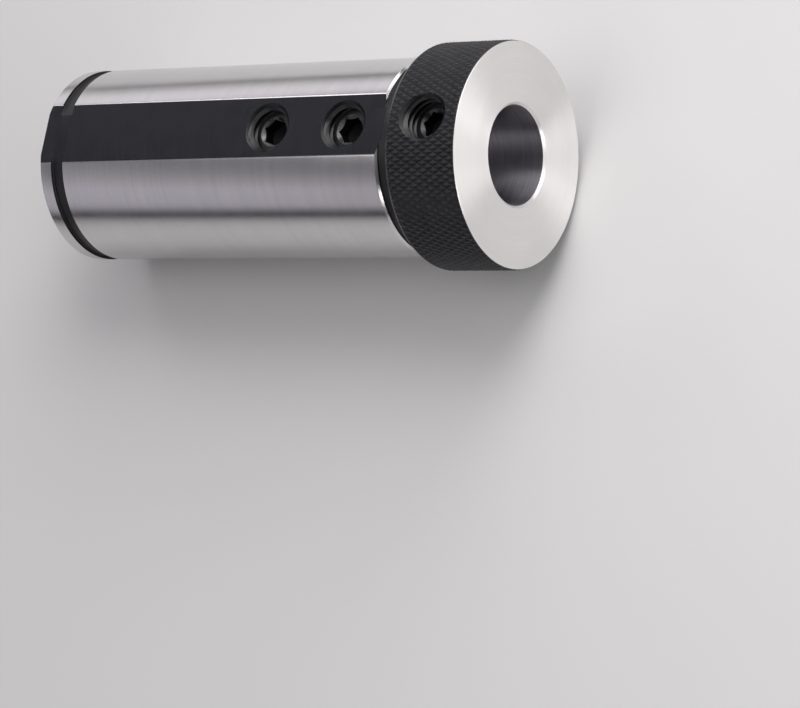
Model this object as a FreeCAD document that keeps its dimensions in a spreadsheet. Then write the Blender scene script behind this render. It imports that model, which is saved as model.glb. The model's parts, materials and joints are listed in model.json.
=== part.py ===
import FreeCAD, Part
import Sketcher
import os

# Boring bar sleeve for a 32 mm tool socket: one turned body with a knurled collar, and three
# hex socket set screws that clamp a 16 mm boring bar in its bore.
# Millimetres. X is the axis of the bore and points out of the face, Z is the way the screws
# point. The origin lies on the axis, in the plane of the shoulder.

SIZES = {
    "shank_diameter": "32",
    "shank_length": "72",
    "tail_chamfer": "0.4",
    "shank_end_chamfer": "0.35",
    # The collar is measured over the crests of its knurl
    "collar_diameter": "36.4",
    "collar_width": "13",
    "collar_back_chamfer": "0.4",
    "collar_back_chamfer_length": "0.7",
    "collar_face_chamfer": "0.2",
    "bore_diameter": "16",
    "bore_chamfer": "0.4",
    # Relief cut for the shoulder, and the ring groove that lies near the tail
    "undercut_width": "3",
    "undercut_depth": "0.6",
    "groove_offset": "2.6",
    "groove_width": "2.4",
    "groove_depth": "0.5",
    # Two clamping flats, one above and one below, whose cutter runs out into the undercut
    "flat_depth": "0.85",
    "flat_runout": "0.5",
    # Tapped holes, cut at the outer diameter of the thread
    "thread_diameter": "8",
    "thread_pitch": "1.25",
    "mouth_chamfer": "0.2",
    "middle_hole_offset": "10.5",
    "rear_hole_spacing": "15",
    "screw_length": "5",
    "screw_clearance": "0.05",
    "screw_point_chamfer": "0.9",
    "screw_head_chamfer": "0.6",
    "socket_across_flats": "4",
    "socket_depth": "2.5",
    "socket_drill_angle": "120",
    # The points of the screws wait just outside the bore, the front one a few turns further out
    "tip_standoff": "0.15",
    "front_screw_turns_out": "1",
}

FORMULAS = {
    "shank_radius": "shank_diameter / 2",
    "collar_radius": "collar_diameter / 2",
    "bore_radius": "bore_diameter / 2",
    "total_length": "shank_length + collar_width",
    "groove_end": "groove_offset + groove_width",
    "groove_radius": "shank_radius - groove_depth",
    "undercut_start": "shank_length - undercut_width",
    "undercut_radius": "shank_radius - undercut_depth",
    "flat_length": "undercut_start + flat_runout",
    "flat_height": "shank_radius - flat_depth",
    "mouth_diameter": "thread_diameter + 2 * mouth_chamfer",
    "collar_mouth_fall": "collar_radius - sqrt(collar_radius ^ 2 - mouth_diameter ^ 2 / 4)",
    "collar_mouth_diameter": "mouth_diameter + collar_mouth_fall",
    "front_hole_place": "collar_width / 2",
    "middle_hole_place": "-middle_hole_offset",
    "rear_hole_place": "middle_hole_place - rear_hole_spacing",
    "screw_radius": "thread_diameter / 2 - screw_clearance",
    "socket_radius": "socket_across_flats / 2",
    "socket_corner_radius": "socket_radius / cos(30 deg)",
    "socket_floor": "screw_length - socket_depth",
    "socket_point": "socket_floor - socket_radius / tan(socket_drill_angle * 0.5 deg)",
    "tip_height": "bore_radius + tip_standoff",
    "front_tip_height": "tip_height + front_screw_turns_out * thread_pitch",
}

doc = FreeCAD.newDocument("boring_bar_sleeve")
sheet = doc.addObject("Spreadsheet::Sheet", "sizes")


def fill_sheet():
    cells = dict(SIZES)
    cells.update({alias: "=" + formula for alias, formula in FORMULAS.items()})
    for row, (alias, content) in enumerate(cells.items(), start=1):
        sheet.set("A%d" % row, alias)
        sheet.set("B%d" % row, content)
        sheet.setAlias("B%d" % row, alias)
    doc.recompute()


def cell(formula):
    """Turns a formula in sheet aliases into one that an object of the document can use."""
    words = formula.split()
    return " ".join("sizes." + word if word[0].isalpha() else word for word in words)


def bind(item, **formulas):
    for name, formula in formulas.items():
        item.setExpression(name, cell(formula))


def new_body(name):
    body = doc.addObject("PartDesign::Body", name)
    body.Label = name
    return body


def new_sketch(body, name, role):
    sketch = body.newObject("Sketcher::SketchObject", name)
    plane = next(item for item in body.Origin.OriginFeatures if item.Role == role)
    sketch.AttachmentSupport = [(plane, "")]
    sketch.MapMode = "FlatFace"
    return sketch


def pin_point(sketch, element, point, across, up):
    """Fixes a point of a sketch by a formula for each coordinate, or by the axis where it is 0."""
    for kind, formula, axis in (("DistanceX", across, -2), ("DistanceY", up, -1)):
        if formula == "0":
            sketch.addConstraint(Sketcher.Constraint("PointOnObject", element, point, axis))
            continue
        start = float(sketch.evalExpression(cell(formula)))
        index = sketch.addConstraint(Sketcher.Constraint(kind, -1, 1, element, point, start))
        sketch.setExpression("Constraints[%d]" % index, cell(formula))


def add_outline(sketch, corners):
    """Draws a closed outline of straight lines through corners given by pairs of formulas."""
    points = []
    for across, up in corners:
        place = [float(sketch.evalExpression(cell(formula))) for formula in (across, up)]
        points.append(FreeCAD.Vector(*place, 0))
    first = sketch.GeometryCount
    count = len(points)
    for corner in range(count):
        sketch.addGeometry(Part.LineSegment(points[corner], points[(corner + 1) % count]), False)
    for corner in range(count):
        following = first + (corner + 1) % count
        sketch.addConstraint(Sketcher.Constraint("Coincident", first + corner, 2, following, 1))
    for corner, (across, up) in enumerate(corners):
        pin_point(sketch, first + corner, 1, across, up)


def add_circle(sketch, place, diameter):
    """Draws a circle whose centre lies on the sketch's horizontal axis."""
    centre = FreeCAD.Vector(float(sketch.evalExpression(cell(place))), 0, 0)
    width = float(sketch.evalExpression(cell(diameter)))
    circle = sketch.addGeometry(Part.Circle(centre, FreeCAD.Vector(0, 0, 1), width / 2), False)
    index = sketch.addConstraint(Sketcher.Constraint("Diameter", circle, width))
    sketch.setExpression("Constraints[%d]" % index, cell(diameter))
    pin_point(sketch, circle, 3, place, "0")


def turn(body, name, sketch, axis):
    feature = body.newObject("PartDesign::Revolution", name)
    feature.Profile = sketch
    feature.ReferenceAxis = (sketch, [axis])
    feature.Angle = 360
    return feature


def turn_sleeve(body):
    """Turns the shank, groove, undercut, collar and bore from one half section."""
    section = new_sketch(body, "sleeve_section", "XZ_Plane")
    bind(section, **{"AttachmentOffset.Base.x": "-1 * shank_length"})
    add_outline(section, [
        ("0", "bore_radius + bore_chamfer"),
        ("0", "shank_radius - tail_chamfer"),
        ("tail_chamfer", "shank_radius"),
        ("groove_offset", "shank_radius"),
        ("groove_offset", "groove_radius"),
        ("groove_end", "groove_radius"),
        ("groove_end", "shank_radius"),
        ("undercut_start - shank_end_chamfer", "shank_radius"),
        ("undercut_start", "shank_radius - shank_end_chamfer"),
        ("undercut_start", "undercut_radius"),
        ("shank_length", "undercut_radius"),
        ("shank_length", "collar_radius - collar_back_chamfer"),
        ("shank_length + collar_back_chamfer_length", "collar_radius"),
        ("total_length - collar_face_chamfer", "collar_radius"),
        ("total_length", "collar_radius - collar_face_chamfer"),
        ("total_length", "bore_radius + bore_chamfer"),
        ("total_length - bore_chamfer", "bore_radius"),
        ("bore_chamfer", "bore_radius"),
    ])
    turn(body, "turned_sleeve", section, "H_Axis")


def mill_flats(body):
    """Mills both clamping flats, from the tail into the undercut."""
    section = new_sketch(body, "flats_section", "XZ_Plane")
    bind(section, **{"AttachmentOffset.Base.x": "-1 * shank_length"})
    for side in ("", "-1 * "):
        add_outline(section, [
            ("0", side + "flat_height"),
            ("flat_length", side + "flat_height"),
            ("flat_length", side + "collar_radius"),
            ("0", side + "collar_radius"),
        ])
    flats = body.newObject("PartDesign::Pocket", "clamping_flats")
    flats.Profile = section
    flats.Type = "Length"
    flats.SideType = "Symmetric"
    bind(flats, Length="shank_diameter")


def drill_holes(body, name, places, height, mouth):
    """Drills holes from a plane above the axis through the wall, with chamfered mouths."""
    layout = new_sketch(body, name + "_layout", "XY_Plane")
    bind(layout, **{"AttachmentOffset.Base.z": height})
    for place in places:
        add_circle(layout, place, "thread_diameter")
    doc.recompute()
    holes = body.newObject("PartDesign::Hole", name)
    holes.Profile = layout
    doc.recompute()
    holes.DepthType = "Dimension"
    holes.DrillPoint = "Flat"
    holes.HoleCutType = "Countersink"
    holes.HoleCutCountersinkAngle = 90
    bind(holes, Diameter="thread_diameter", Depth=height, HoleCutDiameter=mouth)


def make_sleeve():
    body = new_body("sleeve_body")
    turn_sleeve(body)
    mill_flats(body)
    drill_holes(body, "flat_holes", ("rear_hole_place", "middle_hole_place"),
                "flat_height", "mouth_diameter")
    drill_holes(body, "collar_hole", ("front_hole_place",), "collar_radius", "collar_mouth_diameter")
    return body


def make_screw(name, place, tip):
    """Makes a flat point set screw: turned and drilled blank, then the broached hex socket."""
    body = new_body(name)
    section = new_sketch(body, name + "_section", "XZ_Plane")
    add_outline(section, [
        ("0", "0"),
        ("screw_radius - screw_point_chamfer", "0"),
        ("screw_radius", "screw_point_chamfer"),
        ("screw_radius", "screw_length - screw_head_chamfer"),
        ("screw_radius - screw_head_chamfer", "screw_length"),
        ("socket_radius", "screw_length"),
        ("socket_radius", "socket_floor"),
        ("0", "socket_point"),
    ])
    turn(body, name + "_blank", section, "V_Axis")
    hexagon = new_sketch(body, name + "_hexagon", "XY_Plane")
    bind(hexagon, **{"AttachmentOffset.Base.z": "screw_length"})
    add_outline(hexagon, [
        ("socket_corner_radius", "0"),
        ("socket_corner_radius / 2", "socket_radius"),
        ("socket_corner_radius / -2", "socket_radius"),
        ("-1 * socket_corner_radius", "0"),
        ("socket_corner_radius / -2", "-1 * socket_radius"),
        ("socket_corner_radius / 2", "-1 * socket_radius"),
    ])
    socket = body.newObject("PartDesign::Pocket", name + "_socket")
    socket.Profile = hexagon
    socket.Type = "Length"
    bind(socket, Length="socket_depth")
    bind(body, **{"Placement.Base.x": place, "Placement.Base.z": tip})
    return body


def check_document(bodies):
    for item in doc.Objects:
        if "Invalid" in item.State or "Error" in item.State:
            raise RuntimeError("%s failed: %s" % (item.Name, item.State))
    for body in bodies:
        if body.Shape.isNull() or not body.Shape.isValid() or len(body.Shape.Solids) != 1:
            raise RuntimeError("%s is not one valid solid" % body.Label)


def write_parts(bodies):
    os.makedirs("parts", exist_ok=True)
    for body in bodies:
        body.Shape.exportStep("parts/%s.step" % body.Label)
        print("%s %.1f mm3" % (body.Label, body.Shape.Volume))


fill_sheet()
pieces = [
    make_sleeve(),
    make_screw("set_screw_rear", "rear_hole_place", "tip_height"),
    make_screw("set_screw_middle", "middle_hole_place", "tip_height"),
    make_screw("set_screw_front", "front_hole_place", "front_tip_height"),
]
doc.recompute()
check_document(pieces)
write_parts(pieces)
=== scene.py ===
import json
import math

import bmesh
import bpy
from mathutils import Matrix, Quaternion, Vector


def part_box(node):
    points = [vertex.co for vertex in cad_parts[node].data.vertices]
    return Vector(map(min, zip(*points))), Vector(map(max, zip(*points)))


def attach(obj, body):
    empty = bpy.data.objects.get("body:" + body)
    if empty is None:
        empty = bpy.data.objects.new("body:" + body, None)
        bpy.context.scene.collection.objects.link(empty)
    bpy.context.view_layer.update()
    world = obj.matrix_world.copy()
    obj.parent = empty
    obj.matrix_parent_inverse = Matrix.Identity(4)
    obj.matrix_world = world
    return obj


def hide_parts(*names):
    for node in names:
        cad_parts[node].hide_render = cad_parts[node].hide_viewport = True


# Looks of a boring bar sleeve: the ground and blackened steel body with its knurled collar, and
# the three set screws in their tapped holes. Pieces are built in millimetres, in the frame of the
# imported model, and brought to metres at the end.

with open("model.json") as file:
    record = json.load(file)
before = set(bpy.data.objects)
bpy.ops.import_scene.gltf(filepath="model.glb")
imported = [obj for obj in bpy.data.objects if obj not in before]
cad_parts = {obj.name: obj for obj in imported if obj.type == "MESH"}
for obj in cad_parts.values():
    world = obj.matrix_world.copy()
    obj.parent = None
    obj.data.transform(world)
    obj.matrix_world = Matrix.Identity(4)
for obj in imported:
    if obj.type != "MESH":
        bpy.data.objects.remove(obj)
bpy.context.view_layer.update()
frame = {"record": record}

MM = 0.001
mounts = {mount["name"]: mount for mount in frame["record"]["mounts"]}
body_low, body_high = [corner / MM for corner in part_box("sleeve_body")]

# Body, read from the frame
TAIL = round(body_low.x, 2)
FACE = round(body_high.x, 2)
COLLAR_RADIUS = round(body_high.y, 1)
SHANK_RADIUS = mounts["shank"]["dims"]["r_mm"]
BORE_RADIUS = mounts["bar_bore"]["dims"]["r_mm"]
FLAT_HEIGHT = mounts["screw_flat"]["pos_m"][2] / MM

# Body, details along and across the axis
TAIL_CHAMFER = 0.4
BORE_CHAMFER = 0.4
GROOVE_START = TAIL + 2.6
GROOVE_WIDTH = 2.4
GROOVE_DEPTH = 0.5
UNDERCUT_WIDTH = 3.0
UNDERCUT_DEPTH = 0.6
FLAT_RUNOUT = 0.5
SHANK_END_CHAMFER = 0.35
COLLAR_BACK_CHAMFER = 0.4
COLLAR_BACK_CHAMFER_LENGTH = 0.7
COLLAR_FACE_CHAMFER = 0.21
COLLAR_FACE_CHAMFER_LENGTH = 0.45
TOOL_NOSE = 0.15
EDGE_BREAK = 0.07
FLAT_EDGE_WIDTH = 0.2

# Knurl of two crossing sets of ridges, whose tops lie just inside the collar's radius
KNURL_RIDGES = 98
KNURL_ANGLE = math.radians(30)
KNURL_RADIUS = COLLAR_RADIUS - 0.01
KNURL_DEPTH = 0.19
# Depth below the knurl's top over which its tops are lightened, partly as wear and partly as a painted
# highlight
KNURL_WEAR_AND_HIGHLIGHT_DEPTH = 0.11
KNURL_FLANK = 0.43

# Thread of holes and screws, M8 x 1.25
THREAD_PITCH = 1.25
THREAD_RADIUS = 4.0
THREAD_CORE_RADIUS = 3.32
THREAD_CLEARANCE = 0.05
HOLE_START = 5.5
MOUTH_RADIUS = 4.2
COLLAR_MOUTH_RADIUS = 4.45

# Set screw, cut from a blank that is a little wider than its thread
BLANK_ALLOWANCE = 0.03
SCREW_POINT_CHAMFER = 0.9
SCREW_HEAD_CHAMFER = 0.65
SOCKET_RADIUS = 2.0
SOCKET_DEPTH = 2.5
SOCKET_LEAD = 0.55
DRILL_RADIUS = 1.97
DRILL_BEYOND = 0.05
DRILL_HALF_ANGLE = math.radians(60)
DRILL_TIP_RADIUS = 0.02

# Each set screw's node, its body and the turn of its socket in degrees
SCREWS = {
    "rear_set_screw": ("set_screw_rear", "rear_screw", 12),
    "middle_set_screw": ("set_screw_middle", "middle_screw", 37),
    "front_set_screw": ("set_screw_front", "front_screw", 22),
}

# How far cutting solids reach past what they cut
BEYOND = 1.0
TAP_BEYOND = 2.0
MOUTH_BEYOND = 2.5
LEAD_OVERLAP = 0.1

# How finely round forms are divided, and how their meshes are cleaned and shaded
AROUND = 256
THREAD_STEPS = 64
ARC_STEP = math.radians(10)
MERGE_DISTANCE = 0.0005
SMOOTH_ANGLE = math.radians(12)

# Darkest and lightest colour of each finish, and the colours of what wear leaves on it; the rubbed
# steel and the knurl tops are partly wear and partly painted highlights
GROUND_STEEL = (0.625, 0.615, 0.625, 1), (0.68, 0.67, 0.67, 1)
SCUFFED_STEEL = (0.5, 0.49, 0.49, 1)
TURNED_STEEL = (0.82, 0.81, 0.80, 1), (0.87, 0.865, 0.855, 1)
DARK_BORE_STEEL = (0.19, 0.183, 0.205, 1), (0.28, 0.268, 0.30, 1)
BLACK_OXIDE = (0.005, 0.005, 0.006, 1), (0.012, 0.012, 0.014, 1)
RUBBED_STEEL_AND_HIGHLIGHT = (0.42, 0.41, 0.42, 1)
KNURL_BLACK = (0.004, 0.004, 0.007, 1), (0.010, 0.010, 0.014, 1)
KNURL_TOPS_AND_HIGHLIGHT = (0.06, 0.06, 0.063, 1)
MILLED_BLACK = (0.004, 0.004, 0.008, 1), (0.013, 0.013, 0.019, 1)

# Face mill that cut the flats
CUTTER_RADIUS = 16.0


# Nodes

def add_node(tree, kind, **settings):
    node = tree.nodes.new("ShaderNode" + kind)
    for name, value in settings.items():
        setattr(node, name, value)
    return node


def feed(tree, value, socket):
    """Links a socket to another, or sets its value."""
    if isinstance(value, bpy.types.NodeSocket):
        tree.links.new(value, socket)
    else:
        socket.default_value = value


def work(tree, operation, *values, clamp=False):
    """One step of arithmetic on sockets or numbers."""
    node = add_node(tree, "Math", operation=operation, use_clamp=clamp)
    for value, socket in zip(values, node.inputs):
        feed(tree, value, socket)
    return node.outputs[0]


def spread(tree, value, low, high, to_low=0.0, to_high=1.0):
    """Maps a value from one range to another and holds it there."""
    node = add_node(tree, "MapRange")
    for socket, item in zip(node.inputs, (value, low, high, to_low, to_high)):
        feed(tree, item, socket)
    return node.outputs[0]


def blend_colors(tree, share, low, high):
    """Mixes two colours. In a Mix node they are inputs 6 and 7, and the result is output 2."""
    node = add_node(tree, "Mix", data_type="RGBA")
    feed(tree, share, node.inputs["Factor"])
    feed(tree, low, node.inputs[6])
    feed(tree, high, node.inputs[7])
    return node.outputs[2]


def vector_of(tree, *values):
    node = add_node(tree, "CombineXYZ")
    for value, socket in zip(values, node.inputs):
        feed(tree, value, socket)
    return node.outputs[0]


def noise_of(tree, vector, scale=1.0, detail=2.0, roughness=0.5):
    node = add_node(tree, "TexNoise")
    feed(tree, vector, node.inputs["Vector"])
    feed(tree, scale, node.inputs["Scale"])
    feed(tree, detail, node.inputs["Detail"])
    feed(tree, roughness, node.inputs["Roughness"])
    return node.outputs[0]


def place_in_mm(tree):
    """The point on the piece, in millimetres, as three sockets."""
    place = add_node(tree, "TexCoord").outputs["Object"]
    scale = add_node(tree, "VectorMath", operation="SCALE")
    tree.links.new(place, scale.inputs[0])
    scale.inputs["Scale"].default_value = 1 / MM
    parts = add_node(tree, "SeparateXYZ")
    tree.links.new(scale.outputs[0], parts.inputs[0])
    return parts.outputs[0], parts.outputs[1], parts.outputs[2]


def new_group(name, inputs, outputs):
    """An empty node group with number sockets. Returns the tree, its inputs and its outputs."""
    tree = bpy.data.node_groups.new(name, "ShaderNodeTree")
    for label, value in inputs.items():
        socket = tree.interface.new_socket(label, in_out="INPUT", socket_type="NodeSocketFloat")
        socket.default_value = value
    for label in outputs:
        tree.interface.new_socket(label, in_out="OUTPUT", socket_type="NodeSocketFloat")
    entry = tree.nodes.new("NodeGroupInput")
    leave = tree.nodes.new("NodeGroupOutput")
    return tree, entry.outputs, leave.inputs


def use_group(tree, group, **values):
    node = add_node(tree, "Group", node_tree=group)
    for name, value in values.items():
        feed(tree, value, node.inputs[name.replace("_", " ")])
    return node.outputs


# Effects that several finishes share

def lathe_marks_group():
    """Fine lines that a wheel or tool leaves round the axis, on walls and on faces alike."""
    tree, given, result = new_group(
        "lathe_marks", {"Lines per mm": 4.0, "Wander": 2.0}, ("Lines", "Bands", "Radius"))
    along, across, up = place_in_mm(tree)
    radius = work(tree, "SQRT", work(tree, "ADD", work(tree, "MULTIPLY", across, across),
                                     work(tree, "MULTIPLY", up, up)))
    run = work(tree, "ADD", along, radius)
    side = work(tree, "MULTIPLY", work(tree, "DIVIDE", across, radius), given["Wander"])
    rise = work(tree, "MULTIPLY", work(tree, "DIVIDE", up, radius), given["Wander"])
    fine = vector_of(tree, work(tree, "MULTIPLY", run, given["Lines per mm"]), side, rise)
    broad = vector_of(tree, work(tree, "MULTIPLY", run, 0.45), side, rise)
    tree.links.new(noise_of(tree, fine, detail=1.0), result["Lines"])
    tree.links.new(noise_of(tree, broad, detail=2.0), result["Bands"])
    tree.links.new(radius, result["Radius"])
    return tree


def mottle_group():
    """Cloudy unevenness of a finish, about 0.5."""
    tree, given, result = new_group("mottle", {"Size mm": 3.0, "Contrast": 1.0}, ("Value",))
    place = vector_of(tree, *place_in_mm(tree))
    cloud = noise_of(tree, place, work(tree, "DIVIDE", 1.0, given["Size mm"]), 4.0, 0.6)
    raised = work(tree, "MULTIPLY_ADD", work(tree, "SUBTRACT", cloud, 0.5), given["Contrast"], 0.5)
    tree.links.new(raised, result["Value"])
    return tree


def slide_marks_group():
    """Sparse hairline marks along the axis, from pushing the sleeve in and out of its socket."""
    tree, given, result = new_group("slide_marks", {"Amount": 0.5}, ("Mask",))
    along, across, up = place_in_mm(tree)
    streaks = vector_of(tree, work(tree, "MULTIPLY", along, 0.02),
                        work(tree, "MULTIPLY", across, 3.4), work(tree, "MULTIPLY", up, 3.4))
    lines = spread(tree, noise_of(tree, streaks, detail=2.0), 0.66, 0.74)
    patches = spread(tree, noise_of(tree, vector_of(tree, along, across, up), 0.16), 0.45, 0.62)
    mask = work(tree, "MULTIPLY", work(tree, "MULTIPLY", lines, patches), given["Amount"])
    tree.links.new(mask, result["Mask"])
    return tree


def new_finish(name):
    """A material with a Principled shader. Returns the material, its tree and the shader's sockets."""
    material = bpy.data.materials.new(name)
    material.use_nodes = True
    shader = material.node_tree.nodes["Principled BSDF"].inputs
    return material, material.node_tree, shader


def brushed_round(tree, shader, share):
    """Stretches reflections across the lines that run round the axis."""
    shader["Anisotropic"].default_value = share
    shader["Anisotropic Rotation"].default_value = 0.25
    tangent = add_node(tree, "Tangent", direction_type="RADIAL", axis="X")
    tree.links.new(tangent.outputs[0], shader["Tangent"])


def raise_lines(tree, shader, height, strength, distance_mm):
    bump = add_node(tree, "Bump")
    bump.inputs["Strength"].default_value = strength
    bump.inputs["Distance"].default_value = distance_mm * MM
    tree.links.new(height, bump.inputs["Height"])
    tree.links.new(bump.outputs[0], shader["Normal"])


# Finishes

def ground_finish(marks, mottle, slides):
    """Cylindrically ground steel of the shank."""
    material, tree, shader = new_finish("ground_shank")
    lines = use_group(tree, marks, Lines_per_mm=1.1, Wander=0.4)
    clouds = use_group(tree, mottle, Size_mm=7.0, Contrast=0.8)
    scuffs = use_group(tree, slides, Amount=0.1)
    tone = work(tree, "ADD", work(tree, "MULTIPLY", lines["Lines"], 0.5),
                work(tree, "MULTIPLY", clouds["Value"], 0.5))
    steel = blend_colors(tree, spread(tree, tone, 0.3, 0.7), *GROUND_STEEL)
    feed(tree, blend_colors(tree, scuffs["Mask"], steel, SCUFFED_STEEL), shader["Base Color"])
    satin = spread(tree, work(tree, "ADD", lines["Bands"], clouds["Value"]), 0.7, 1.3, 0.18, 0.205)
    dulled = work(tree, "ADD", satin, work(tree, "MULTIPLY", scuffs["Mask"], 0.15))
    feed(tree, dulled, shader["Roughness"])
    shader["Metallic"].default_value = 1.0
    brushed_round(tree, shader, 0.55)
    raise_lines(tree, shader, lines["Lines"], 0.4, 0.02)
    return material


def turned_finish(marks, mottle):
    """Bright face of the collar, with the close rings of the facing cut."""
    material, tree, shader = new_finish("turned_face")
    lines = use_group(tree, marks, Lines_per_mm=3.6, Wander=0.15)
    clouds = use_group(tree, mottle, Size_mm=5.0, Contrast=0.7)
    tone = work(tree, "ADD", work(tree, "MULTIPLY", lines["Lines"], 0.6),
                work(tree, "MULTIPLY", clouds["Value"], 0.4))
    feed(tree, blend_colors(tree, spread(tree, tone, 0.3, 0.7), *TURNED_STEEL),
         shader["Base Color"])
    feed(tree, spread(tree, lines["Bands"], 0.3, 0.7, 0.36, 0.42), shader["Roughness"])
    shader["Metallic"].default_value = 1.0
    brushed_round(tree, shader, 0.9)
    raise_lines(tree, shader, lines["Lines"], 0.3, 0.005)
    return material


def bore_finish(marks, mottle):
    """Bored and honed wall, darker than the outside."""
    material, tree, shader = new_finish("bore_wall")
    lines = use_group(tree, marks, Lines_per_mm=2.6, Wander=1.0)
    clouds = use_group(tree, mottle, Size_mm=4.0, Contrast=1.0)
    tone = work(tree, "ADD", work(tree, "MULTIPLY", lines["Lines"], 0.5),
                work(tree, "MULTIPLY", clouds["Value"], 0.5))
    feed(tree, blend_colors(tree, spread(tree, tone, 0.3, 0.7), *DARK_BORE_STEEL),
         shader["Base Color"])
    feed(tree, spread(tree, clouds["Value"], 0.3, 0.7, 0.47, 0.53), shader["Roughness"])
    shader["Metallic"].default_value = 1.0
    brushed_round(tree, shader, 1.0)
    raise_lines(tree, shader, lines["Lines"], 0.3, 0.006)
    return material


def black_finish(name, marks, mottle, satin, gloss=1.5, wear_and_highlight=0.0):
    """Black oxide over turned steel, lightened toward rubbed steel in patches by the given amount of
    wear, which on the collar's back chamfer and the socket lip is partly a painted highlight.
    """
    material, tree, shader = new_finish(name)
    lines = use_group(tree, marks, Lines_per_mm=3.0, Wander=1.0)
    clouds = use_group(tree, mottle, Size_mm=2.4, Contrast=1.2)
    black = blend_colors(tree, spread(tree, clouds["Value"], 0.3, 0.7), *BLACK_OXIDE)
    # Patches lightened toward rubbed steel: partly wear, partly a painted highlight
    rubbed_and_highlit = work(tree, "MULTIPLY", spread(tree, clouds["Value"], 0.35, 0.6), wear_and_highlight)
    feed(tree, blend_colors(tree, rubbed_and_highlit, black, RUBBED_STEEL_AND_HIGHLIGHT), shader["Base Color"])
    feed(tree, rubbed_and_highlit, shader["Metallic"])
    feed(tree, spread(tree, clouds["Value"], 0.25, 0.75, satin - 0.05, satin + 0.08),
         shader["Roughness"])
    shader["IOR"].default_value = gloss
    raise_lines(tree, shader, lines["Lines"], 0.3, 0.005)
    return material


def knurl_finish(marks, mottle):
    """Black oxide with lighter tops on the knurl, partly where handling has rubbed it thin and partly
    as a painted highlight on the crests.
    """
    material, tree, shader = new_finish("knurl_black")
    lines = use_group(tree, marks, Lines_per_mm=3.0, Wander=8.0)
    clouds = use_group(tree, mottle, Size_mm=1.6, Contrast=1.3)
    # Knurl tops lightened toward a grey: partly wear, partly a painted highlight on the crests
    height = spread(tree, lines["Radius"], KNURL_RADIUS - KNURL_WEAR_AND_HIGHLIGHT_DEPTH, KNURL_RADIUS)
    rubbed_and_highlit = work(tree, "MULTIPLY", height, spread(tree, clouds["Value"], 0.3, 0.62))
    black = blend_colors(tree, spread(tree, clouds["Value"], 0.3, 0.7), *KNURL_BLACK)
    wear_and_highlight = blend_colors(tree, work(tree, "MULTIPLY", rubbed_and_highlit, 0.45), black, KNURL_TOPS_AND_HIGHLIGHT)
    feed(tree, wear_and_highlight, shader["Base Color"])
    feed(tree, spread(tree, rubbed_and_highlit, 0.0, 1.0, 0.48, 0.38), shader["Roughness"])
    feed(tree, work(tree, "MULTIPLY", rubbed_and_highlit, 0.15), shader["Metallic"])
    shader["IOR"].default_value = 1.47
    raise_lines(tree, shader, clouds["Value"], 0.2, 0.02)
    return material


def milled_finish(mottle):
    """Blackened flat with the shallow arcs that a face mill leaves."""
    material, tree, shader = new_finish("milled_flat")
    along, across, up = place_in_mm(tree)
    swing = work(tree, "SQRT", work(tree, "SUBTRACT", CUTTER_RADIUS ** 2,
                                    work(tree, "MULTIPLY", across, across)))
    sweep = work(tree, "ADD", along, swing)
    arcs = noise_of(tree, vector_of(tree, work(tree, "MULTIPLY", sweep, 2.6),
                                    work(tree, "MULTIPLY", across, 0.12), up), detail=3.0)
    clouds = use_group(tree, mottle, Size_mm=3.2, Contrast=1.2)
    tone = work(tree, "ADD", work(tree, "MULTIPLY", arcs, 0.55),
                work(tree, "MULTIPLY", clouds["Value"], 0.45))
    feed(tree, blend_colors(tree, spread(tree, tone, 0.32, 0.68), *MILLED_BLACK),
         shader["Base Color"])
    feed(tree, spread(tree, tone, 0.3, 0.7, 0.38, 0.58), shader["Roughness"])
    shader["IOR"].default_value = 1.4
    raise_lines(tree, shader, arcs, 0.5, 0.03)
    return material


def make_finishes():
    marks = lathe_marks_group()
    mottle = mottle_group()
    slides = slide_marks_group()
    made = (
        ground_finish(marks, mottle, slides),
        turned_finish(marks, mottle),
        bore_finish(marks, mottle),
        black_finish("black_oxide", marks, mottle, 0.38),
        # Collar's back chamfer: its wear is partly a painted highlight along the edge
        black_finish("black_edge", marks, mottle, 0.30, wear_and_highlight=0.22),
        black_finish("thread_black", marks, mottle, 0.30),
        black_finish("socket_black", marks, mottle, 0.60, gloss=1.2),
        # Socket lip: its wear is partly a painted highlight
        black_finish("worn_lip", marks, mottle, 0.28, gloss=2.2, wear_and_highlight=0.6),
        knurl_finish(marks, mottle),
        milled_finish(mottle),
    )
    return {material.name: material for material in made}


# Solids

def new_solid(name, shape, finishes):
    """Turns a closed bmesh into an object whose material slots follow the list of finishes."""
    bmesh.ops.recalc_face_normals(shape, faces=shape.faces[:])
    mesh = bpy.data.meshes.new(name)
    shape.to_mesh(mesh)
    shape.free()
    for finish in finishes:
        mesh.materials.append(FINISHES[finish])
    solid = bpy.data.objects.new(name, mesh)
    bpy.context.scene.collection.objects.link(solid)
    return solid


def round_corner(before, corner, after, radius):
    """Points of the arc that rounds a corner of an outline."""
    back = (Vector(before) - Vector(corner)).normalized()
    ahead = (Vector(after) - Vector(corner)).normalized()
    half = back.angle(ahead) / 2
    reach = radius / math.tan(half)
    centre = Vector(corner) + (back + ahead).normalized() * radius / math.sin(half)
    start = Vector(corner) + back * reach - centre
    turn = math.pi - 2 * half
    if back.cross(ahead) > 0:
        turn = -turn
    steps = max(1, math.ceil(abs(turn) / ARC_STEP))
    return [centre + Matrix.Rotation(turn * step / steps, 2) @ start for step in range(steps + 1)]


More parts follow.
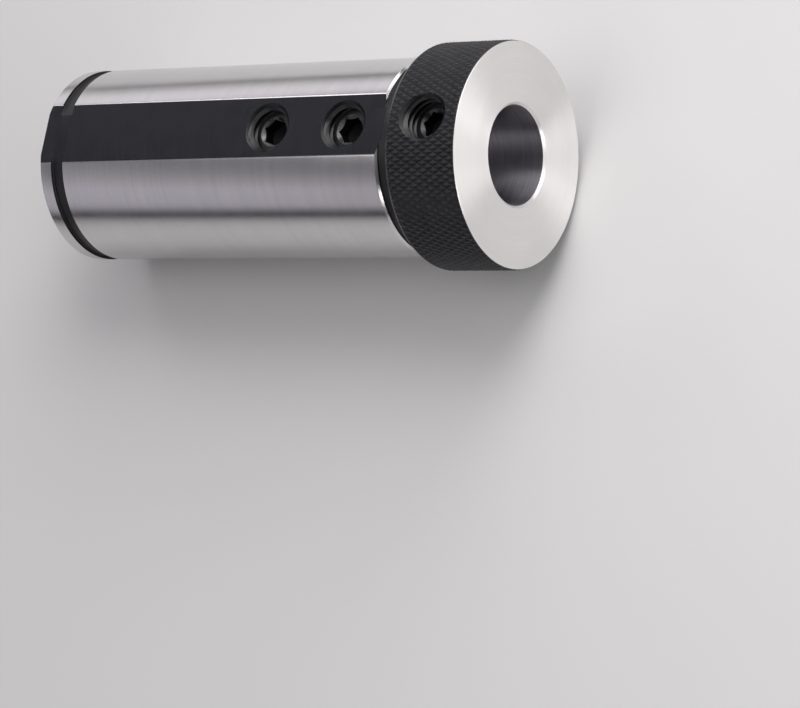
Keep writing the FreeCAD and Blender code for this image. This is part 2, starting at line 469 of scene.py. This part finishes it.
def turned(name, corners, upright=False):
    """A solid of revolution about X, or about Z where it stands upright.

    Each corner is its place along the axis, its radius, the radius that rounds it and the finish
    of the wall that follows it. Both ends are closed by flat discs.
    """
    outline = []
    for index, (along, radius, rounding, finish) in enumerate(corners):
        points = [Vector((along, radius))]
        if rounding:
            points = round_corner(corners[index - 1][:2], (along, radius),
                                  corners[index + 1][:2], rounding)
        outline += [(point.x, point.y, finish) for point in points]
    finishes = sorted({corner[3] for corner in corners})
    solid = bmesh.new()
    rings = []
    for along, radius, finish in outline:
        ring = []
        for step in range(AROUND):
            angle = 2 * math.pi * step / AROUND
            ring.append(solid.verts.new((along, radius * math.cos(angle), radius * math.sin(angle))))
        rings.append(ring)
    for index in range(len(rings) - 1):
        here, there = rings[index], rings[index + 1]
        for step in range(AROUND):
            after = (step + 1) % AROUND
            face = solid.faces.new((here[step], here[after], there[after], there[step]))
            face.material_index = finishes.index(outline[index][2])
    solid.faces.new(rings[0]).material_index = finishes.index(outline[0][2])
    solid.faces.new(rings[-1]).material_index = finishes.index(outline[-1][2])
    if upright:
        solid.transform(Matrix.Rotation(-math.pi / 2, 4, "Y"))
    return new_solid(name, solid, finishes)


def block(name, low, high, finish):
    solid = bmesh.new()
    bmesh.ops.create_cube(solid, size=1)
    size = Vector(high) - Vector(low)
    solid.transform(Matrix.Translation((Vector(low) + Vector(high)) / 2) @ Matrix.Diagonal((*size, 1)))
    return new_solid(name, solid, [finish])


def square_ends(solid, low, high):
    """Cuts an open tube about X at two planes and closes its ends there."""
    for place, side in ((low, -1), (high, 1)):
        everything = solid.verts[:] + solid.edges[:] + solid.faces[:]
        cut = bmesh.ops.bisect_plane(solid, geom=everything, plane_co=(place, 0, 0),
                                     plane_no=(side, 0, 0), clear_outer=True)
        rim = [item for item in cut["geom_cut"] if isinstance(item, bmesh.types.BMEdge)]
        bmesh.ops.holes_fill(solid, edges=rim)


def knurled_rod(name, low, high, radius, finish):
    """A rod covered by pyramids, where two sets of V grooves cross at the knurl's angle.

    Line by line, each groove gives its bottom and both edges of the narrow top beside it. A few
    spare lines at both ends are trimmed off with the ends.
    """
    shares = (0.0, KNURL_FLANK, 1.0 - KNURL_FLANK)
    lines = 3 * KNURL_RIDGES
    per_mm = 2 * math.tan(KNURL_ANGLE) * KNURL_RIDGES / (2 * math.pi * radius)
    spare = 4
    first = math.floor(3 * per_mm * low) - spare
    last = math.ceil(3 * per_mm * high) + spare
    place = {index: index // 3 + shares[index % 3] for index in range(-lines, 2 * lines)}
    solid = bmesh.new()
    points = {}
    for one in range(lines):
        for gap in range(first, last + 1):
            other = one - gap
            angle = (place[one] + place[other]) * math.pi / KNURL_RIDGES
            along = (place[one] - place[other]) / per_mm
            bottom = one % 3 == 0 or other % 3 == 0
            reach = radius - (KNURL_DEPTH if bottom else 0)
            points[one, gap] = solid.verts.new(
                (along, reach * math.cos(angle), reach * math.sin(angle)))
    for one in range(lines):
        following = (one + 1) % lines
        for gap in range(first + 1, last):
            near, far = points[one, gap], points[following, gap]
            left, right = points[following, gap + 1], points[one, gap - 1]
            flanks = one % 3, (one - gap) % 3
            if 1 in flanks:
                solid.faces.new((near, left, far, right))
            elif flanks[0] == flanks[1]:
                solid.faces.new((near, left, far))
                solid.faces.new((near, far, right))
            else:
                solid.faces.new((near, left, right))
                solid.faces.new((left, far, right))
    square_ends(solid, low, high)
    return new_solid(name, solid, [finish])


def threaded_rod(name, low, high, clearance, finish):
    """An upright right hand thread.

    Its turns are counted from the origin, so that a screw stays in mesh with its hole. The
    profile gives both ends of root and crest, as shares of the pitch and radii. A turn ends one
    profile above its start, where it meets the points of the next. The rod is made two turns
    longer below and one above, and trimmed there.
    """
    profile = ((0.0, THREAD_CORE_RADIUS), (0.25, THREAD_CORE_RADIUS),
               (0.5625, THREAD_RADIUS), (0.6875, THREAD_RADIUS))
    rows = len(profile)
    first = rows * (math.floor(low / THREAD_PITCH) - 2)
    last = rows * (math.ceil(high / THREAD_PITCH) + 1)
    solid = bmesh.new()
    points = {}
    for step in range(THREAD_STEPS):
        angle = 2 * math.pi * step / THREAD_STEPS
        for row in range(first, last + rows + 1):
            share, radius = profile[row % rows]
            along = THREAD_PITCH * (row // rows + share + step / THREAD_STEPS)
            reach = radius - clearance
            points[step, row] = solid.verts.new(
                (along, reach * math.cos(angle), reach * math.sin(angle)))
    for row in range(first + rows, last + rows + 1):
        points[THREAD_STEPS, row - rows] = points[0, row]
    for step in range(THREAD_STEPS):
        for row in range(first, last):
            solid.faces.new((points[step, row], points[step + 1, row],
                             points[step + 1, row + 1], points[step, row + 1]))
    square_ends(solid, low, high)
    solid.transform(Matrix.Rotation(-math.pi / 2, 4, "Y"))
    return new_solid(name, solid, [finish])


def hexagon_rod(name, low, high, radius, finish):
    """An upright hexagonal prism, radius from its axis to its flats."""
    corner_radius = radius / math.cos(math.pi / 6)
    solid = bmesh.new()
    bmesh.ops.create_cone(solid, cap_ends=True, segments=6, radius1=corner_radius,
                          radius2=corner_radius, depth=high - low)
    solid.transform(Matrix.Translation((0, 0, (low + high) / 2)))
    return new_solid(name, solid, [finish])


def combine(piece, tool, operation):
    """Cuts, joins or trims a solid by another, which is used up."""
    change = piece.modifiers.new(operation, "BOOLEAN")
    change.operation = operation
    change.object = tool
    change.solver = "EXACT"
    change.material_mode = "TRANSFER"
    seen = piece.evaluated_get(bpy.context.evaluated_depsgraph_get())
    result = bpy.data.meshes.new_from_object(seen)
    piece.modifiers.clear()
    piece.data = result
    bpy.data.objects.remove(tool)
    return piece


def shift(solid, along):
    solid.data.transform(Matrix.Translation((along, 0, 0)))
    return solid


# The pieces

def screw_place(node):
    """Place along the sleeve, height of the point and height of the top of a set screw."""
    low, high = [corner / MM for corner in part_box(node)]
    return (low.x + high.x) / 2, low.z, high.z


def make_shank():
    """Shank up to the middle of the collar, which is joined to it later."""
    groove = SHANK_RADIUS - GROOVE_DEPTH
    undercut = SHANK_RADIUS - UNDERCUT_DEPTH
    groove_end = GROOVE_START + GROOVE_WIDTH
    return turned("sleeve", [
        (TAIL, SHANK_RADIUS - TAIL_CHAMFER, 0, "black_oxide"),
        (TAIL + TAIL_CHAMFER, SHANK_RADIUS, 0, "ground_shank"),
        (GROOVE_START, SHANK_RADIUS, EDGE_BREAK, "black_oxide"),
        (GROOVE_START, groove, TOOL_NOSE, "black_oxide"),
        (groove_end, groove, TOOL_NOSE, "black_oxide"),
        (groove_end, SHANK_RADIUS, EDGE_BREAK, "ground_shank"),
        (-UNDERCUT_WIDTH - SHANK_END_CHAMFER, SHANK_RADIUS, EDGE_BREAK, "ground_shank"),
        (-UNDERCUT_WIDTH, SHANK_RADIUS - SHANK_END_CHAMFER, 0, "black_oxide"),
        (-UNDERCUT_WIDTH, undercut, TOOL_NOSE, "black_oxide"),
        (FACE / 2, undercut, 0, "black_oxide"),
    ])


def make_collar():
    """Collar trimmed out of a knurled rod, so that both chamfers cut through the knurl."""
    bright = COLLAR_RADIUS - COLLAR_FACE_CHAMFER
    collar = turned("collar", [
        (0, SHANK_RADIUS, 0, "black_oxide"),
        # Back chamfer lightened in patches: partly wear, partly a painted highlight along the edge
        (0, COLLAR_RADIUS - COLLAR_BACK_CHAMFER, 0, "black_edge"),
        (COLLAR_BACK_CHAMFER_LENGTH, COLLAR_RADIUS, 0, "knurl_black"),
        (FACE - COLLAR_FACE_CHAMFER_LENGTH, COLLAR_RADIUS, 0, "black_oxide"),
        (FACE - EDGE_BREAK, bright, 0, "turned_face"),
        (FACE, bright - EDGE_BREAK, 0, "turned_face"),
    ])
    rod = knurled_rod("knurl", -BEYOND, FACE + BEYOND, KNURL_RADIUS, "knurl_black")
    return combine(collar, rod, "INTERSECT")


def break_flat_edges(sleeve, end):
    """Takes the sharpness off both long edges of the flat that holds the screws."""
    half_width = math.sqrt(SHANK_RADIUS ** 2 - FLAT_HEIGHT ** 2)
    tilt = math.asin(half_width / SHANK_RADIUS) / 2
    depth = FLAT_EDGE_WIDTH / 2 * math.tan(tilt)
    for side in (-1, 1):
        wedge = block("edge", (TAIL - BEYOND, -BEYOND, -depth), (end, BEYOND, BEYOND),
                      "ground_shank")
        wedge.data.transform(Matrix.Translation((0, side * half_width, FLAT_HEIGHT))
                             @ Matrix.Rotation(-side * tilt, 4, "X"))
        combine(sleeve, wedge, "DIFFERENCE")


def make_bore():
    """Cutter for the bore and the chamfers at both its ends."""
    widest = BORE_RADIUS + BORE_CHAMFER + BEYOND
    return turned("bore", [
        (TAIL - BEYOND, widest, 0, "black_oxide"),
        (TAIL + BORE_CHAMFER, BORE_RADIUS, 0, "bore_wall"),
        (FACE - BORE_CHAMFER, BORE_RADIUS, 0, "turned_face"),
        (FACE + BEYOND, widest, 0, "turned_face"),
    ])


def make_hole(place, surface, mouth_radius):
    """Tap and countersink for one hole, joined into one cutter."""
    tap = threaded_rod("tap", HOLE_START, surface + TAP_BEYOND, 0, "thread_black")
    tip_radius = THREAD_CORE_RADIUS - LEAD_OVERLAP
    countersink = turned("countersink", [
        (surface - (mouth_radius - tip_radius), tip_radius, 0, "black_oxide"),
        (surface + MOUTH_BEYOND, mouth_radius + MOUTH_BEYOND, 0, "black_oxide"),
    ], upright=True)
    return shift(combine(tap, countersink, "UNION"), place)


def make_sleeve():
    """Shank and collar, then the flats, the bore and the tapped holes cut into them."""
    sleeve = combine(make_shank(), make_collar(), "UNION")
    flat_end = -UNDERCUT_WIDTH + FLAT_RUNOUT
    outside = COLLAR_RADIUS + BEYOND
    for low, high in ((FLAT_HEIGHT, outside), (-outside, -FLAT_HEIGHT)):
        corner = (TAIL - BEYOND, -SHANK_RADIUS, low)
        opposite = (flat_end, SHANK_RADIUS, high)
        combine(sleeve, block("flat", corner, opposite, "milled_flat"), "DIFFERENCE")
    break_flat_edges(sleeve, -UNDERCUT_WIDTH)
    combine(sleeve, make_bore(), "DIFFERENCE")
    for screw in SCREWS.values():
        place = screw_place(screw[0])[0]
        on_collar = place > 0
        surface = COLLAR_RADIUS if on_collar else FLAT_HEIGHT
        mouth = COLLAR_MOUTH_RADIUS if on_collar else MOUTH_RADIUS
        combine(sleeve, make_hole(place, surface, mouth), "DIFFERENCE")
    return sleeve


def make_screw(name, node, socket_turn):
    """Set screw: threaded rod trimmed to its chamfered blank, with a drilled hexagon socket."""
    place, tip, top = screw_place(node)
    radius = THREAD_RADIUS - THREAD_CLEARANCE + BLANK_ALLOWANCE
    screw = turned(name, [
        (tip, radius - SCREW_POINT_CHAMFER, 0, "thread_black"),
        (tip + SCREW_POINT_CHAMFER, radius, 0, "thread_black"),
        (top - SCREW_HEAD_CHAMFER, radius, 0, "thread_black"),
        (top, radius - SCREW_HEAD_CHAMFER, 0, "black_oxide"),
    ], upright=True)
    rod = threaded_rod("thread", tip - BEYOND, top + BEYOND, THREAD_CLEARANCE, "thread_black")
    combine(screw, rod, "INTERSECT")
    floor = top - SOCKET_DEPTH
    socket = hexagon_rod("socket", floor, top + BEYOND, SOCKET_RADIUS, "socket_black")
    socket.data.transform(Matrix.Rotation(math.radians(socket_turn), 4, "Z"))
    drilled = floor - DRILL_BEYOND
    drill = turned("drill", [
        (drilled - DRILL_RADIUS / math.tan(DRILL_HALF_ANGLE), DRILL_TIP_RADIUS, 0, "socket_black"),
        (drilled, DRILL_RADIUS, 0, "socket_black"),
        (top + BEYOND, DRILL_RADIUS, 0, "socket_black"),
    ], upright=True)
    # Socket lip lightened in patches: partly wear, partly a painted highlight
    lead = turned("lead", [
        (top - SOCKET_LEAD - LEAD_OVERLAP, SOCKET_RADIUS - LEAD_OVERLAP, 0, "worn_lip"),
        (top + BEYOND, SOCKET_RADIUS + SOCKET_LEAD + BEYOND, 0, "worn_lip"),
    ], upright=True)
    for tool in (socket, drill, lead):
        combine(screw, tool, "DIFFERENCE")
    return shift(screw, place)


def finish_piece(piece, node, body):
    """Cleans the mesh, brings it to metres and fastens it to its body in place of its CAD node."""
    mesh = piece.data
    tidy = bmesh.new()
    tidy.from_mesh(mesh)
    bmesh.ops.remove_doubles(tidy, verts=tidy.verts[:], dist=MERGE_DISTANCE)
    bmesh.ops.dissolve_degenerate(tidy, dist=MERGE_DISTANCE, edges=tidy.edges[:])
    loose = [point for point in tidy.verts if not point.link_faces]
    bmesh.ops.delete(tidy, geom=loose, context="VERTS")
    tidy.to_mesh(mesh)
    tidy.free()
    mesh.transform(Matrix.Scale(MM, 4))
    mesh.shade_smooth()
    mesh.set_sharp_from_angle(angle=SMOOTH_ANGLE)
    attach(piece, body)
    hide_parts(node)


# Stage

# Name, place in millimetres, width, height and strength of each lamp
LAMPS = (
    ("front", (440, 10, 55), 330, 130, 4.1),
    ("front_left", (415, -240, 70), 240, 160, 4.5),
    ("front_right", (400, 230, 90), 240, 180, 2.5),
    ("right", (100, 430, 170), 330, 260, 2.3),
    ("top_right", (135, 234, 360), 260, 260, 3.5),
    ("top_back", (-80, -60, 430), 300, 300, 1.1),
    ("back", (-258, 217, 297), 120, 120, 2.0),
    ("back_right", (-330, 420, 132), 520, 208, 0.45),
)
WARM_WHITE = (1.0, 0.985, 0.97)

# Height above the horizon, as the sine of its angle, and colour of the surroundings there
SURROUNDINGS = (
    (0.07, (0.02, 0.02, 0.023, 1)),
    (0.22, (0.48, 0.46, 0.505, 1)),
    (0.48, (0.54, 0.515, 0.565, 1)),
    (0.74, (0.18, 0.175, 0.19, 1)),
)

# Dark corner of the surroundings: its direction, the cosines at its rim and inside, its strength
DARK_CORNER = (0.35, -0.79, 0.50)
DARK_CORNER_RIM = 0.60
DARK_CORNER_INSIDE = 0.90
DARK_CORNER_STRENGTH = 0.1

# Camera, in millimetres and degrees
CAMERA_PLACE = Vector((336.77, -177.54, 461.50))
CAMERA_TARGET = Vector((-9.16, -30.09, -9.42))
CAMERA_ROLL = -60.72
CAMERA_LENS = 168.61
CAMERA_SENSOR = 36

# Floor: how far it reaches each way, in millimetres, and its colour
FLOOR_REACH = 2500
PALE_FLOOR = (0.80, 0.80, 0.795, 1)


def make_floor():
    """Pale floor under the sleeve, which rests on its collar's back edge and on its tail."""
    tail_foot = Vector((TAIL, -FLAT_HEIGHT))
    collar_foot = Vector((COLLAR_BACK_CHAMFER_LENGTH, -COLLAR_RADIUS))
    slope = math.atan2(tail_foot.y - collar_foot.y, collar_foot.x - tail_foot.x)
    mesh = bpy.data.meshes.new("floor")
    reach = FLOOR_REACH
    mesh.from_pydata([(-reach, -reach, 0), (reach, -reach, 0), (reach, reach, 0), (-reach, reach, 0)],
                     [], [(0, 1, 2, 3)])
    stand = Matrix.Translation((collar_foot.x, 0, collar_foot.y)) @ Matrix.Rotation(slope, 4, "Y")
    mesh.transform(Matrix.Scale(MM, 4) @ stand)
    material, _, shader = new_finish("pale_floor")
    shader["Base Color"].default_value = PALE_FLOOR
    shader["Roughness"].default_value = 0.9
    shader["Specular IOR Level"].default_value = 0.1
    mesh.materials.append(material)
    floor = bpy.data.objects.new("floor", mesh)
    bpy.context.scene.collection.objects.link(floor)


def make_lamp(name, place, width, height, strength):
    """A soft rectangular lamp turned to the sleeve, strength being how bright its surface looks."""
    lamp = bpy.data.lights.new(name, "AREA")
    lamp.shape = "RECTANGLE"
    lamp.size = width * MM
    lamp.size_y = height * MM
    lamp.energy = strength * math.pi * lamp.size * lamp.size_y
    lamp.color = WARM_WHITE
    holder = bpy.data.objects.new(name, lamp)
    holder.location = Vector(place) * MM
    holder.rotation_mode = "QUATERNION"
    holder.rotation_quaternion = (-Vector(place)).to_track_quat("-Z", "Y")
    holder.visible_camera = False
    bpy.context.scene.collection.objects.link(holder)


def make_world():
    """Soft grey surroundings, dark at the horizon and dim overhead, with a dark corner in front."""
    world = bpy.data.worlds.new("studio")
    world.use_nodes = True
    bpy.context.scene.world = world
    tree = world.node_tree
    way = add_node(tree, "TexCoord").outputs["Generated"]
    height = add_node(tree, "SeparateXYZ")
    tree.links.new(way, height.inputs[0])
    ramp = add_node(tree, "ValToRGB")
    stops = ramp.color_ramp.elements
    stops.remove(stops[1])
    stops[0].position, stops[0].color = SURROUNDINGS[0]
    for position, color in SURROUNDINGS[1:]:
        stops.new(position).color = color
    tree.links.new(height.outputs["Z"], ramp.inputs[0])
    corner = add_node(tree, "VectorMath", operation="DOT_PRODUCT")
    tree.links.new(way, corner.inputs[0])
    corner.inputs[1].default_value = DARK_CORNER
    dimmed = spread(tree, corner.outputs["Value"], DARK_CORNER_RIM, DARK_CORNER_INSIDE,
                    1.0, DARK_CORNER_STRENGTH)
    tree.links.new(ramp.outputs[0], tree.nodes["Background"].inputs["Color"])
    tree.links.new(dimmed, tree.nodes["Background"].inputs["Strength"])


def make_camera():
    """Long lens that looks down on the sleeve, rolled until the sleeve lies level in the picture."""
    camera = bpy.data.cameras.new("camera")
    camera.lens = CAMERA_LENS
    camera.sensor_width = CAMERA_SENSOR
    camera.clip_start = 0.01
    holder = bpy.data.objects.new("camera", camera)
    holder.location = CAMERA_PLACE * MM
    holder.rotation_mode = "QUATERNION"
    aim = (CAMERA_TARGET - CAMERA_PLACE).to_track_quat("-Z", "Y")
    holder.rotation_quaternion = aim @ Quaternion((0, 0, 1), math.radians(CAMERA_ROLL))
    bpy.context.scene.collection.objects.link(holder)
    bpy.context.scene.camera = holder


def make_stage():
    make_camera()
    make_floor()
    make_world()
    for lamp in LAMPS:
        make_lamp(*lamp)
    bpy.context.scene.view_settings.view_transform = "Standard"


make_stage()
FINISHES = make_finishes()
finish_piece(make_sleeve(), "sleeve_body", "sleeve")
for piece_name, (screw_node, screw_body, socket_turn) in SCREWS.items():
    finish_piece(make_screw(piece_name, screw_node, socket_turn), screw_node, screw_body)
